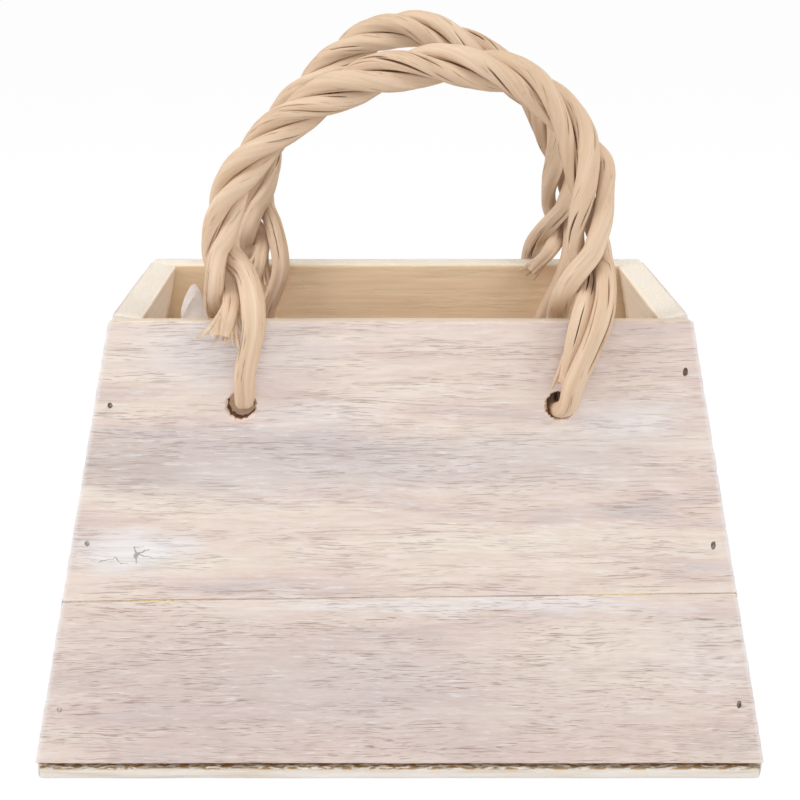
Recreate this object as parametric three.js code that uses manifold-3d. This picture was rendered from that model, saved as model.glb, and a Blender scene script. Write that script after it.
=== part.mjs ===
// A small bag-shaped wooden crate: four leaning walls of edge-glued boards, nailed together and onto a
// thin base, a loose film liner inside, and two handles, each one vine twisted to and fro three times and
// threaded through holes in the long walls. Millimetres, +Z up. The origin is the middle of the base's
// underside, and the front wall faces -Y.
import * as THREE from "three";
import { mergeVertices } from "three/addons/utils/BufferGeometryUtils.js";
import Module from "manifold-3d";

const wasm = await Module();
wasm.setup();

// Driving dimensions: the crate's outside faces
const bottomLength = 200;
const topLength = 154;
const bottomDepth = 120;
const topDepth = 97;
const wallRise = 121.5;
const boardThick = 8;
const baseThick = 3.5;
const baseInset = 0.1;
const baseCornerRadius = 2.5;
const edgeEase = 0.3;
const gap = 0.3;

// Glue seams between the lower and the upper board of a wall, as heights up the slope
const longSeamLeft = 45.8;
const longSeamRight = 48.2;
const endSeam = 68;
const seamGap = 0.15;
const endWallProud = 0.5;

// Brads: a flat head on a flat shank with a chisel point
const nailHeadWidth = 2.2;
const nailHeadHeight = 0.7;
const nailShankWidth = 1.2;
const nailThick = 1.1;
const nailPoint = 2;
const nailSink = 0.4;
const wallNailLength = 20;
const baseNailLength = 14;
const wallNailInset = 4.3;
const leftNailHeights = [15.5, 62, 99.5];
const rightNailHeights = [17, 61.5, 108.5];
const longBaseNails = [-70, 0, 70];
const endBaseNails = [-26, 26];
const longBaseNailInset = 4;
const endBaseNailInset = 4.8;

// Handle holes in the long walls
const holeRadius = 4.5;
const holeChamfer = 1;
const holeSpan = 84.5;
const holeBelowRim = 22.6;
const holeSides = 24;

// The vine of a handle, and how it lies
const vineLegRadius = 2.7;
const vineTwistRadius = 2.2;
const vineTipRadius = 1.8;
const vineTipTaper = 0.045;
const vineSides = 8;
const vineStep = 3;
const coilRadius = 3;
const coilSwell = 0.65;
const coilLoosening = 0.9;
const coilTurns = 3;
const coilSlackening = 0.2;
const kinkReach = 2.6;
const kinkPlace = 0.855;
const kinkSpread = 0.035;
const coilSamples = 56;
const straddle = 5.3;
const loopRadius = boardThick / 2 + straddle - 0.3;
const loopSeat = 0.35;
const loopDrop = holeRadius - vineLegRadius - loopSeat;

// Middle line of each twisted arch: across the wall, and above its rim
const frontArch = [
  [-47.5, 18], [-45.3, 32], [-35, 47], [-18.5, 59], [-1, 65.5],
  [16, 66.8], [33.5, 62.3], [44.8, 50.5], [49.5, 35], [50, 18],
];
const rearArch = [
  [-43.5, 18], [-38.5, 40], [-24, 58.5], [-9.5, 69.5], [3, 72.5],
  [19.5, 68.3], [35, 58.8], [45, 46.5], [50.5, 32], [51, 18],
];

// The film liner
const filmThick = 0.5;
const filmClear = 0.5;
const filmCornerRadius = 13;
const filmHeight = 87;
const filmWave = 2.2;
const filmPinch = 0.012;
const filmEars = [
  { corner: [1, -1], rise: 9 },
  { corner: [1, 1], rise: 12 },
  { corner: [-1, 1], rise: 32 },
  { corner: [-1, -1], rise: 8 },
];
const filmEarSpread = 13;
const filmAround = 80;
const filmLevels = 6;

// Values that follow from the driving dimensions
const longLean = Math.atan((bottomDepth - topDepth) / 2 / wallRise);
const endLean = Math.atan((bottomLength - topLength) / 2 / wallRise);
const longSlope = wallRise / Math.cos(longLean);
// A square-cut wall that leans in stands on its inner lower edge, which lifts its outer one.
const footLift = (lean) => baseThick + gap + boardThick * Math.sin(lean);
const rimHeight = footLift(longLean) + wallRise;
const endReach = bottomLength / 2 - (footLift(endLean) - footLift(longLean)) * Math.tan(endLean);
const endSlope = (rimHeight - footLift(endLean)) / Math.cos(endLean) + endWallProud;
const holeHeight = longSlope - holeBelowRim;
// Half the room between two facing walls at a height above the ground.
function halfRoom(reach, lean, z) {
  return reach - boardThick / Math.cos(lean) - (z - footLift(lean)) * Math.tan(lean);
}
const roomX = (z) => halfRoom(endReach, endLean, z);
const roomY = (z) => halfRoom(bottomDepth / 2, longLean, z);

const whitewash = new THREE.MeshStandardMaterial({ color: 0xdfd0c6, roughness: 0.85, metalness: 0 });
const rawWood = new THREE.MeshStandardMaterial({ color: 0xe6d8c0, roughness: 0.8, metalness: 0 });
const vineBark = new THREE.MeshStandardMaterial({ color: 0xd9b995, roughness: 0.7, metalness: 0 });
const steel = new THREE.MeshStandardMaterial({ color: 0x77726b, roughness: 0.5, metalness: 0.9 });
const film = new THREE.MeshStandardMaterial({
  color: 0xe8e4e2,
  roughness: 0.25,
  metalness: 0,
  transparent: true,
  opacity: 0.4,
});

const crate = new THREE.Group();
const quarter = Math.PI / 2;

function addMesh(parent, name, geometry, material) {
  const mesh = new THREE.Mesh(geometry, material);
  mesh.name = name;
  parent.add(mesh);
  return mesh;
}

// Solids for cutting

function solidFrom(geometry) {
  const bare = geometry.clone();
  bare.deleteAttribute("normal");
  bare.deleteAttribute("uv");
  const merged = mergeVertices(bare, 1e-4);
  return new wasm.Manifold(new wasm.Mesh({
    numProp: 3,
    vertProperties: merged.attributes.position.array,
    triVerts: new Uint32Array(merged.index.array),
  }));
}

function geometryFrom(solid) {
  const { numProp, numVert, vertProperties, triVerts } = solid.getMesh();
  const positions = new Float32Array(numVert * 3);
  for (let i = 0; i < numVert; i++)
    positions.set(vertProperties.subarray(i * numProp, i * numProp + 3), i * 3);
  return new THREE.BufferGeometry()
    .setAttribute("position", new THREE.BufferAttribute(positions, 3))
    .setIndex(new THREE.BufferAttribute(triVerts, 1));
}

// Takes shapes out of a mesh; each cutter is a geometry and the object in whose frame it stands.
function cut(mesh, cutters) {
  crate.updateMatrixWorld(true);
  let solid = solidFrom(mesh.geometry);
  for (const { geometry, place } of cutters) {
    const toMesh = mesh.matrixWorld.clone().invert().multiply(place.matrixWorld);
    solid = solid.subtract(solidFrom(geometry.clone().applyMatrix4(toMesh)));
  }
  mesh.geometry = geometryFrom(solid);
}

// Boards

// A board with eased edges, whose outer face is at z = 0.
function boardGeometry(outline, thickness) {
  const geometry = new THREE.ExtrudeGeometry(outline, {
    depth: thickness - 2 * edgeEase,
    bevelThickness: edgeEase,
    bevelSize: edgeEase,
    bevelOffset: -edgeEase,
    bevelSegments: 1,
    curveSegments: 2,
  });
  return geometry.translate(0, 0, edgeEase - thickness);
}

const polygon = (corners) => new THREE.Shape(corners.map(([x, y]) => new THREE.Vector2(x, y)));

function roundedRectangle(halfX, halfY, radius) {
  const outline = new THREE.Shape();
  outline.absarc(halfX - radius, halfY - radius, radius, 0, quarter);
  outline.absarc(radius - halfX, halfY - radius, radius, quarter, 2 * quarter);
  outline.absarc(radius - halfX, radius - halfY, radius, 2 * quarter, 3 * quarter);
  outline.absarc(halfX - radius, radius - halfY, radius, 3 * quarter, 4 * quarter);
  outline.closePath();
  return outline;
}

// A wall's own frame: x along the wall, y up its slope, z out of its outer face.
function wallFrame(turn, lean, reach) {
  const side = new THREE.Group();
  side.rotation.z = turn;
  const wall = new THREE.Group();
  wall.position.set(0, -reach, footLift(lean));
  wall.rotation.x = Math.PI / 2 - lean;
  side.add(wall);
  crate.add(side);
  return wall;
}

// A wall of two boards; halfWidth gives half the wall's length at a height up the slope.
function addWall(wall, name, halfWidth, seamLeft, seamRight, top) {
  const corner = (side, height) => [side * halfWidth(height), height];
  const lower = [corner(-1, 0), corner(1, 0), corner(1, seamRight), corner(-1, seamLeft)];
  const upper = [
    corner(-1, seamLeft + seamGap),
    corner(1, seamRight + seamGap),
    corner(1, top),
    corner(-1, top),
  ];
  return {
    lower: addMesh(wall, `${name}_lower_board`, boardGeometry(polygon(lower), boardThick), whitewash),
    upper: addMesh(wall, `${name}_upper_board`, boardGeometry(polygon(upper), boardThick), whitewash),
  };
}

const longHalfWidth = (height) => THREE.MathUtils.lerp(bottomLength, topLength, height / longSlope) / 2;

// An end wall fills the space between the inner faces of the long walls.
const endHalfWidth = (height) => roomY(footLift(endLean) + height * Math.cos(endLean)) - gap;

const longWalls = {
  front: wallFrame(0, longLean, bottomDepth / 2),
  rear: wallFrame(2 * quarter, longLean, bottomDepth / 2),
};
const endWalls = {
  right: wallFrame(quarter, endLean, endReach),
  left: wallFrame(-quarter, endLean, endReach),
};
const boards = {};
for (const [name, wall] of Object.entries(longWalls))
  boards[name] = addWall(wall, name, longHalfWidth, longSeamLeft, longSeamRight, longSlope);
for (const [name, wall] of Object.entries(endWalls))
  boards[name] = addWall(wall, `${name}_end`, endHalfWidth, endSeam, endSeam, endSlope);

const baseOutline = roundedRectangle(
  bottomLength / 2 - baseInset,
  bottomDepth / 2 - baseInset,
  baseCornerRadius,
);
const baseBoard = addMesh(crate, "base_board", boardGeometry(baseOutline, baseThick), rawWood);
baseBoard.position.z = baseThick;

// Nails: the head is at the frame's origin, flat along Y, and the shank runs down -Z.

function nailGeometry(length, grow, lead) {
  const head = nailHeadWidth / 2 + grow;
  const shank = nailShankWidth / 2 + grow;
  const neck = -nailHeadHeight - grow;
  const end = -length - grow;
  const outline = new THREE.Shape([
    new THREE.Vector2(-head, lead),
    new THREE.Vector2(-head, neck),
    new THREE.Vector2(-shank, neck),
    new THREE.Vector2(-shank, end + nailPoint),
    new THREE.Vector2(0, end),
    new THREE.Vector2(shank, end + nailPoint),
    new THREE.Vector2(shank, neck),
    new THREE.Vector2(head, neck),
    new THREE.Vector2(head, lead),
  ]);
  const thick = nailThick + 2 * grow;
  const turn = new THREE.Matrix4().makeBasis(
    new THREE.Vector3(0, 1, 0),
    new THREE.Vector3(0, 0, 1),
    new THREE.Vector3(1, 0, 0),
  );
  return new THREE.ExtrudeGeometry(outline, { depth: thick, bevelEnabled: false })
    .translate(0, 0, -thick / 2)
    .applyMatrix4(turn);
}

// Drives a nail through the meshes that it holds together.
function drive(nail, length, meshes) {
  const hole = { geometry: nailGeometry(length, gap, 1), place: nail };
  for (const mesh of meshes) cut(mesh, [hole]);
}

for (const [name, wall] of Object.entries(longWalls)) {
  const columns = [
    { side: -1, label: "left", heights: leftNailHeights, end: name === "front" ? "left" : "right" },
    { side: 1, label: "right", heights: rightNailHeights, end: name === "front" ? "right" : "left" },
  ];
  for (const { side, label, heights, end } of columns)
    heights.forEach((height, i) => {
      const nail = addMesh(wall, `${name}_nail_${label}_${i + 1}`, nailGeometry(wallNailLength, 0, 0), steel);
      nail.position.set(side * (longHalfWidth(height) - wallNailInset), height, -nailSink);
      const part = height < longSeamLeft ? "lower" : "upper";
      const endPart = height < endSeam ? "lower" : "upper";
      drive(nail, wallNailLength, [boards[name][part], boards[end][endPart]]);
    });
}

// A base nail points up into a wall's foot; its flat head lies along that wall.
function addBaseNail(name, x, y, turn, wallBoard) {
  const nail = addMesh(crate, name, nailGeometry(baseNailLength, 0, 0), steel);
  nail.position.set(x, y, nailSink);
  nail.rotation.set(Math.PI, 0, turn);
  drive(nail, baseNailLength, [baseBoard, wallBoard]);
}

for (const [name, sign] of [["front", -1], ["rear", 1]])
  longBaseNails.forEach((x, i) => {
    const y = sign * (bottomDepth / 2 - longBaseNailInset);
    addBaseNail(`base_nail_${name}_${i + 1}`, x, y, quarter, boards[name].lower);
  });
for (const [name, sign] of [["right", 1], ["left", -1]])
  endBaseNails.forEach((y, i) => {
    const x = sign * (bottomLength / 2 - endBaseNailInset);
    addBaseNail(`base_nail_${name}_end_${i + 1}`, x, y, 0, boards[name].lower);
  });

// Handle holes, chamfered where the vine bears on their edges

function holeGeometry() {
  const past = 1;
  const wide = holeRadius + holeChamfer + past;
  const profile = [
    [0, past],
    [wide, past],
    [holeRadius, -holeChamfer],
    [holeRadius, holeChamfer - boardThick],
    [wide, -boardThick - past],
    [0, -boardThick - past],
  ];
  const points = profile.reverse().map(([r, z]) => new THREE.Vector2(r, z));
  return new THREE.LatheGeometry(points, holeSides).rotateX(quarter);
}

for (const [name, wall] of Object.entries(longWalls))
  for (const side of [-1, 1]) {
    const geometry = holeGeometry().translate((side * holeSpan) / 2, holeHeight, 0);
    cut(boards[name].upper, [{ geometry, place: wall }]);
  }

// Handles

// A vine's radius at a share of its route. Where the runs are twisted they squeeze each other thinner, and
// the tails are thin.
function vineRadius(curve, t) {
  const { y } = curve.getPointAt(t);
  const belowTwist = THREE.MathUtils.smoothstep(longSlope - y, -19, -4);
  const radius = THREE.MathUtils.lerp(vineTwistRadius, vineLegRadius, belowTwist);
  const fromEnd = Math.min(t, 1 - t) * curve.getLength();
  return Math.min(radius, vineTipRadius + vineTipTaper * fromEnd);
}

// A vine swept along its route, with flat ends.
function vineGeometry(curve, rings) {
  const frames = curve.computeFrenetFrames(rings, false);
  const positions = [];
  const faces = [];
  for (let i = 0; i <= rings; i++) {
    const centre = curve.getPointAt(i / rings);
    const radius = vineRadius(curve, i / rings);
    for (let k = 0; k < vineSides; k++) {
      const angle = (2 * Math.PI * k) / vineSides;
      const spoke = frames.normals[i].clone().multiplyScalar(Math.cos(angle));
      spoke.addScaledVector(frames.binormals[i], Math.sin(angle));
      positions.push(...centre.clone().addScaledVector(spoke, radius).toArray());
    }
  }
  const at = (ring, k) => ring * vineSides + (k % vineSides);
  for (let i = 0; i < rings; i++)
    for (let k = 0; k < vineSides; k++) {
      faces.push(at(i, k), at(i, k + 1), at(i + 1, k + 1));
      faces.push(at(i, k), at(i + 1, k + 1), at(i + 1, k));
    }
  for (let k = 1; k < vineSides - 1; k++) {
    faces.push(at(0, 0), at(0, k + 1), at(0, k));
    faces.push(at(rings, 0), at(rings, k), at(rings, k + 1));
  }
  return new THREE.BufferGeometry()
    .setAttribute("position", new THREE.Float32BufferAttribute(positions, 3))
    .setIndex(faces);
}

// The middle line of one of the three twisted runs, from the left end of the arch to the right one; a kink
// pushes it off the others near its right end.
function runPoints(arch, startAngle, kink) {
  const points = [];
  for (let i = 0; i <= coilSamples; i++) {
    const t = i / coilSamples;
    const along = arch.getTangentAt(t);
    const outward = new THREE.Vector3(-along.y, along.x, 0);
    const twist = 2 * Math.PI * coilTurns * (t * (1 + coilSlackening) - coilSlackening * t * t);
    const angle = startAngle + twist;
    const swell = coilSwell * Math.exp(-(((t - 0.5) / 0.2) ** 2));
    const radius = coilRadius + swell + coilLoosening * THREE.MathUtils.smoothstep(t, 0.72, 1);
    const push = kink * Math.exp(-(((t - kinkPlace) / kinkSpread) ** 2));
    const point = arch.getPointAt(t).addScaledVector(outward, push - radius * Math.sin(angle));
    point.z += radius * Math.cos(angle);
    points.push(point);
  }
  return points;
}

// The turn through a handle hole, from the outside of the wall to the inside; lean slants its outer leg along
// the wall and bulge moves it outwards.
function turnPoints(x, lean, bulge) {
  const middle = new THREE.Vector3(x, holeHeight - loopDrop + loopRadius, bulge - boardThick / 2);
  return [10, 50, 90, 130, 170].map((degrees) => {
    const angle = THREE.MathUtils.degToRad(degrees);
    const across = lean * Math.max(0, Math.cos(angle));
    return middle.clone().add(
      new THREE.Vector3(across, -loopRadius * Math.sin(angle), loopRadius * Math.cos(angle)),
    );
  });
}

// The whole route of a vine in its wall's frame: in at the left tail, three twisted runs joined by the
// turns through the right and the left hole, and out at the right tail.
function vineCurve(archPoints) {
  const rim = longSlope;
  const outside = straddle;
  const inside = -boardThick - straddle;
  const point = (x, aboveRim, z) => new THREE.Vector3(x, rim + aboveRim, z);
  const arch = new THREE.CatmullRomCurve3(
    archPoints.map(([x, aboveRim]) => point(x, aboveRim, -boardThick / 2)),
    false,
    "centripetal",
  );
  const [left] = archPoints[0];
  const [right] = archPoints[archPoints.length - 1];
  const hole = holeSpan / 2;
  const leftFoot = (left - hole) / 2;
  const rightFoot = (right + hole) / 2;
  const third = (2 * Math.PI) / 3;
  const route = [
    point(leftFoot - 1, -5, outside + 0.2),
    point(leftFoot + 0.3, 1.5, outside - 0.8),
    point(leftFoot - 1.2, 8.5, -3.4),
    point(leftFoot - 4, 14, -6.8),
    ...runPoints(arch, -third, 0),
    point(rightFoot + 8.4, 8, 1.1),
    point(rightFoot + 6.4, 0, outside + 0.8),
    ...turnPoints(hole, 3, 0.7),
    point(rightFoot - 4.1, 0, inside),
    point(rightFoot - 2, 10, -2),
    ...runPoints(arch, 0, kinkReach).reverse(),
    point(leftFoot - 7, 10, -2),
    point(leftFoot - 4.2, 0, inside),
    ...turnPoints(-hole, 0.6, 0).reverse(),
    point(leftFoot + 6.7, 0, outside),
    point(leftFoot + 4.4, 12, -1.2),
    ...runPoints(arch, third, 0),
    point(rightFoot + 3.6, 10, -4.9),
    point(rightFoot + 0.7, 1, outside - 0.8),
    point(rightFoot - 3.7, -11, 3.4),
  ];
  const curve = new THREE.CatmullRomCurve3(route, false, "centripetal");
  curve.arcLengthDivisions = route.length * 12;
  return curve;
}

// The least space between stretches of a vine that aren't neighbours along it.
function leastGap(curve, rings) {
  const points = curve.getSpacedPoints(rings * 2);
  const radiiAt = points.map((_, i) => vineRadius(curve, i / (rings * 2)));
  const apart = Math.ceil((2 * 6 * vineLegRadius) / vineStep);
  let least = Infinity;
  for (let i = 0; i < points.length; i++)
    for (let j = i + apart; j < points.length; j++) {
      const radii = radiiAt[i] + radiiAt[j];
      least = Math.min(least, points[i].distanceTo(points[j]) - radii);
    }
  return least;
}

// Both handles show their tails to the front, so the rear one is turned about in its wall.
for (const [name, archPoints] of [["front", frontArch], ["rear", rearArch]]) {
  const curve = vineCurve(archPoints);
  const rings = Math.round(curve.getLength() / vineStep);
  const vine = addMesh(longWalls[name], `${name}_handle_vine`, vineGeometry(curve, rings), vineBark);
  if (name === "rear") {
    vine.rotation.y = Math.PI;
    vine.position.z = -boardThick;
  }
  const space = leastGap(curve, rings).toFixed(2);
  console.log(`${name} vine: ${curve.getLength().toFixed(0)} mm long, least gap to itself ${space} mm`);
}

// Liner: a film pressed into the crate, with a waved upper edge that stands up as ears in the corners

// The film's upper edge, at a point of its outline and that point's share of the way round.
function filmTop(x, y, share) {
  const round = 2 * Math.PI * share;
  const wave = filmWave * (Math.sin(7 * round) + 0.6 * Math.sin(11 * round + 1));
  const ears = filmEars.map(({ corner, rise }) => {
    const far = Math.hypot(x - corner[0] * roomX(filmHeight), y - corner[1] * roomY(filmHeight));
    return rise * Math.exp(-((far / filmEarSpread) ** 2));
  });
  return filmHeight + wave + Math.max(...ears);
}

// One side of the film, as rows of points from the floor to the upper edge.
function filmSkin(inset, floor) {
  const rows = [];
  const outline = roundedRectangle(roomX(floor) - inset, roomY(floor) - inset, filmCornerRadius);
  const feet = outline.getSpacedPoints(filmAround).slice(0, filmAround);
  for (let level = 0; level <= filmLevels; level++)
    rows.push(feet.map((foot, i) => {
      const top = filmTop(foot.x, foot.y, i / filmAround);
      const z = THREE.MathUtils.lerp(floor, top, level / filmLevels);
      const fold = 1 + Math.sin((2 * Math.PI * 9 * i) / filmAround);
      const pinch = 1 - (filmPinch * fold * level) / filmLevels;
      const x = (foot.x * (roomX(z) - inset)) / (roomX(floor) - inset);
      const y = (foot.y * (roomY(z) - inset)) / (roomY(floor) - inset);
      return new THREE.Vector3(x * pinch, y * pinch, z);
    }));
  return rows;
}

function linerGeometry() {
  const floor = baseThick + 2 * gap;
  const outer = filmSkin(filmClear, floor);
  const inner = filmSkin(filmClear + filmThick, floor + filmThick);
  const rows = [...outer, ...inner.reverse()];
  const positions = rows.flat().flatMap((p) => p.toArray());
  const faces = [];
  const at = (row, i) => row * filmAround + (i % filmAround);
  for (let row = 0; row < rows.length - 1; row++)
    for (let i = 0; i < filmAround; i++) {
      faces.push(at(row, i), at(row, i + 1), at(row + 1, i + 1));
      faces.push(at(row, i), at(row + 1, i + 1), at(row + 1, i));
    }
  const under = positions.length / 3;
  positions.push(0, 0, floor, 0, 0, floor + filmThick);
  for (let i = 0; i < filmAround; i++) {
    faces.push(under, at(0, i + 1), at(0, i));
    faces.push(under + 1, at(rows.length - 1, i), at(rows.length - 1, i + 1));
  }
  return new THREE.BufferGeometry()
    .setAttribute("position", new THREE.Float32BufferAttribute(positions, 3))
    .setIndex(faces);
}

addMesh(crate, "film_liner", linerGeometry(), film);

export default crate;
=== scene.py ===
# The looks of a small bag-shaped wooden crate: whitewashed boards, twisted vine handles and a film liner.
import math

import bpy
import numpy as np
from mathutils import Matrix, Vector


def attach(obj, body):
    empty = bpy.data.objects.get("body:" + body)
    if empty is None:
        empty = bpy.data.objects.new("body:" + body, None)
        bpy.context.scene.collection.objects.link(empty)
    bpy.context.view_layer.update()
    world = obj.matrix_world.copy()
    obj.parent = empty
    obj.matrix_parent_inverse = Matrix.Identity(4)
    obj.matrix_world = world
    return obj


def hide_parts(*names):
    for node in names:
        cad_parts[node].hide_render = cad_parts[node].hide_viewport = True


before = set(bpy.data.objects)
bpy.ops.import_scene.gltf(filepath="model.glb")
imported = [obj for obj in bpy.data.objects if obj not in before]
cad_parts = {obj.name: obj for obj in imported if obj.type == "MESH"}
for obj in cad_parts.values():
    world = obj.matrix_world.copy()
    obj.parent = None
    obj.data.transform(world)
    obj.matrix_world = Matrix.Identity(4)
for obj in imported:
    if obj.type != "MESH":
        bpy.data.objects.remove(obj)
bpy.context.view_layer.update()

MM = 0.001

# Driving dimensions of the crate, as in the solids
BOTTOM_LENGTH = 200 * MM
TOP_LENGTH = 154 * MM
BOTTOM_DEPTH = 120 * MM
TOP_DEPTH = 97 * MM
WALL_RISE = 121.5 * MM
BOARD = 8 * MM
BASE = 3.5 * MM
BASE_INSET = 0.1 * MM
BASE_CORNER = 2.5 * MM
GAP = 0.3 * MM
LONG_SEAM = (45.8 * MM, 48.2 * MM)
END_SEAM = (68 * MM, 68 * MM)
SEAM_GAP = 0.15 * MM
END_PROUD = 0.5 * MM
EDGE_EASE = 0.6 * MM
SEAM_EASE = 0.2 * MM

# Handle holes and nails
HOLE_RADIUS = 3.7 * MM
HOLE_SPAN = 84.5 * MM
HOLE_BELOW_RIM = 22.6 * MM
NAIL_INSET = 4.3 * MM
NAIL_POCKET = (0.68 * MM, 1.2 * MM)
FILLED_POCKET = (0.68 * MM, 0.8 * MM)
PAINTED_NAILS = ("front_nail_left_1", "front_nail_left_2")
LEFT_NAILS = (15.5 * MM, 62 * MM, 99.5 * MM)
RIGHT_NAILS = (17 * MM, 61.5 * MM, 108.5 * MM)
LONG_BASE_NAILS = (-70 * MM, 0, 70 * MM)
END_BASE_NAILS = (-26 * MM, 26 * MM)
LONG_BASE_NAIL_INSET = 4 * MM
END_BASE_NAIL_INSET = 4.8 * MM

# Vines, whose arches are given across the wall and above its rim; sections as half thickness and half width
VINE_TWIST = (2.3 * MM, 2.6 * MM)
VINE_LEG = (2.4 * MM, 2.95 * MM)
FLAT_SIDE_SPREAD = 8 * MM
VINE_TIP = (1.3 * MM, 1.6 * MM)
VINE_TIP_LENGTH = 16 * MM
VINE_SQUARENESS = 2.4
COIL_RADIUS = 3 * MM
COIL_SWELL = 0.3 * MM
COIL_LOOSENING = 0.9 * MM
COIL_TURNS = 3
COIL_SLACKENING = 0.2
KINK_REACH = 2.6 * MM
KINK_PLACE = 0.855
KINK_SPREAD = 0.035
COIL_SAMPLES = 56
STRADDLE = 5.3 * MM
LOOP_RADIUS = BOARD / 2 + STRADDLE - 0.3 * MM
LOOP_DROP = 1.4 * MM
LEFT_LOOP_RISE = 2.2 * MM
LEFT_LOOP_SHIFT = 0.8 * MM
VINE_STEP = 0.9 * MM
VINE_SIDES = 76
CRACKS = 125
DEEP_CRACK = 0.8 * MM
FRONT_ARCH = MM * np.array([
    (-47.5, 18), (-45.3, 32), (-35, 47), (-18.5, 58.7), (-1, 64.8),
    (16, 66), (33, 61.6), (44.3, 50.2), (49.3, 35), (50, 18),
])
REAR_ARCH = MM * np.array([
    (-43.5, 18), (-38.5, 40), (-23.3, 58.2), (-9.2, 69.2), (3, 72.5),
    (19, 67.8), (34.5, 58.4), (45, 46.5), (50.5, 32), (51, 18),
])

# Torn ends of a vine: rows of its route that the slivers cover, their number, and how far they splay
LEFT_TORN = (11, 15, 0.5)
RIGHT_TORN = (8, 6, 0.06)
SLIVER_RINGS = 7
SLIVER_SIDES = 8

# The right tails' last points: off the right foot, above the rim and off the wall
FRONT_TAIL = MM * np.array([(0.7, 1, 4.5), (-3.3, -15.8, 2.9)])
REAR_TAIL = MM * np.array([(0.7, 5, 2.6), (-5, -1, 3.8)])

# Film liner, pressed into the crate, with ears that stand up in the corners
FILM_CLEAR = 0.5 * MM
FILM_CORNER = 13 * MM
FILM_HEIGHT = 87 * MM
FILM_WAVE = 2.2 * MM
FILM_EARS = {(1, -1): 9 * MM, (1, 1): 12 * MM, (-1, 1): 34 * MM, (-1, -1): 8 * MM}
FILM_EAR_INSET = (4.2 * MM, 3.4 * MM)
FILM_EAR_NEAR = 0.5 * MM
FILM_EAR_FAR = 25 * MM
FILM_EAR_SKEW = 1.3
FILM_STANDS_OFF = 3.5 * MM
FILM_LEAVES_WALL = (78 * MM, 96 * MM)
FILM_NEARS_WALL = (98 * MM, 124 * MM)
FILM_FINER_FOLDS = (92 * MM, 106 * MM)
FILM_CRUMPLE = 3.2 * MM
FILM_AROUND = 360
FILM_LEVELS = 64
FILM_FLOOR_RINGS = 24

# Camera, fitted to the photograph's square frame
CAMERA_PLACE = (-5.56 * MM, -491.8 * MM, 219.0 * MM)
CAMERA_PITCH = 14.4665
CAMERA_FOCUS_PX = 1721.6
CAMERA_CENTRE_X_PX = 379.4
PHOTO_PX = 800
SENSOR = 36.0

# Stage and lamps, each lamp as its place and power
FLOOR_REACH = 60.0
FLOOR_GAP = 0.1 * MM
AMBIENT = 0.5
LAMP_SIZE = 0.9
LAMP_TARGET = (0, 0, 0.09)
LAMPS = {
    "left": ((-1.15, -0.35, 0.7), 8.4),
    "right": ((1.15, -0.55, 0.95), 8.0),
    "front": ((0.0, -1.5, 0.75), 3.2),
    "top": ((0.0, -0.2, 1.4), 4.6),
}

# Values that follow from the driving dimensions
LONG_LEAN = math.atan((BOTTOM_DEPTH - TOP_DEPTH) / 2 / WALL_RISE)
END_LEAN = math.atan((BOTTOM_LENGTH - TOP_LENGTH) / 2 / WALL_RISE)
LONG_SLOPE = WALL_RISE / math.cos(LONG_LEAN)
HOLE_HEIGHT = LONG_SLOPE - HOLE_BELOW_RIM
BASE_X = BOTTOM_LENGTH / 2 - BASE_INSET
BASE_Y = BOTTOM_DEPTH / 2 - BASE_INSET


def foot_lift(lean):
    """Height of a wall's outer lower edge: a square-cut wall that leans in stands on its inner one."""
    return BASE + GAP + BOARD * math.sin(lean)


RIM_HEIGHT = foot_lift(LONG_LEAN) + WALL_RISE
END_REACH = BOTTOM_LENGTH / 2 - (foot_lift(END_LEAN) - foot_lift(LONG_LEAN)) * math.tan(END_LEAN)
END_SLOPE = (RIM_HEIGHT - foot_lift(END_LEAN)) / math.cos(END_LEAN) + END_PROUD


def half_room(reach, lean, height):
    """Half the room between two facing walls at a height above the ground."""
    return reach - BOARD / math.cos(lean) - (height - foot_lift(lean)) * math.tan(lean)


def room(height):
    """Half the room inside the crate, along and across it, at a height above the ground."""
    return half_room(END_REACH, END_LEAN, height), half_room(BOTTOM_DEPTH / 2, LONG_LEAN, height)


def wall_matrix(turn, lean, reach):
    """A wall's frame: x along the wall, y up its slope, z out of its outer face."""
    stand = Matrix.Translation((0, -reach, foot_lift(lean))) @ Matrix.Rotation(math.pi / 2 - lean, 4, "X")
    return Matrix.Rotation(math.radians(turn), 4, "Z") @ stand


WALLS = {
    "front": wall_matrix(0, LONG_LEAN, BOTTOM_DEPTH / 2),
    "right_end": wall_matrix(90, END_LEAN, END_REACH),
    "rear": wall_matrix(180, LONG_LEAN, BOTTOM_DEPTH / 2),
    "left_end": wall_matrix(270, END_LEAN, END_REACH),
}


# Node graphs

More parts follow.
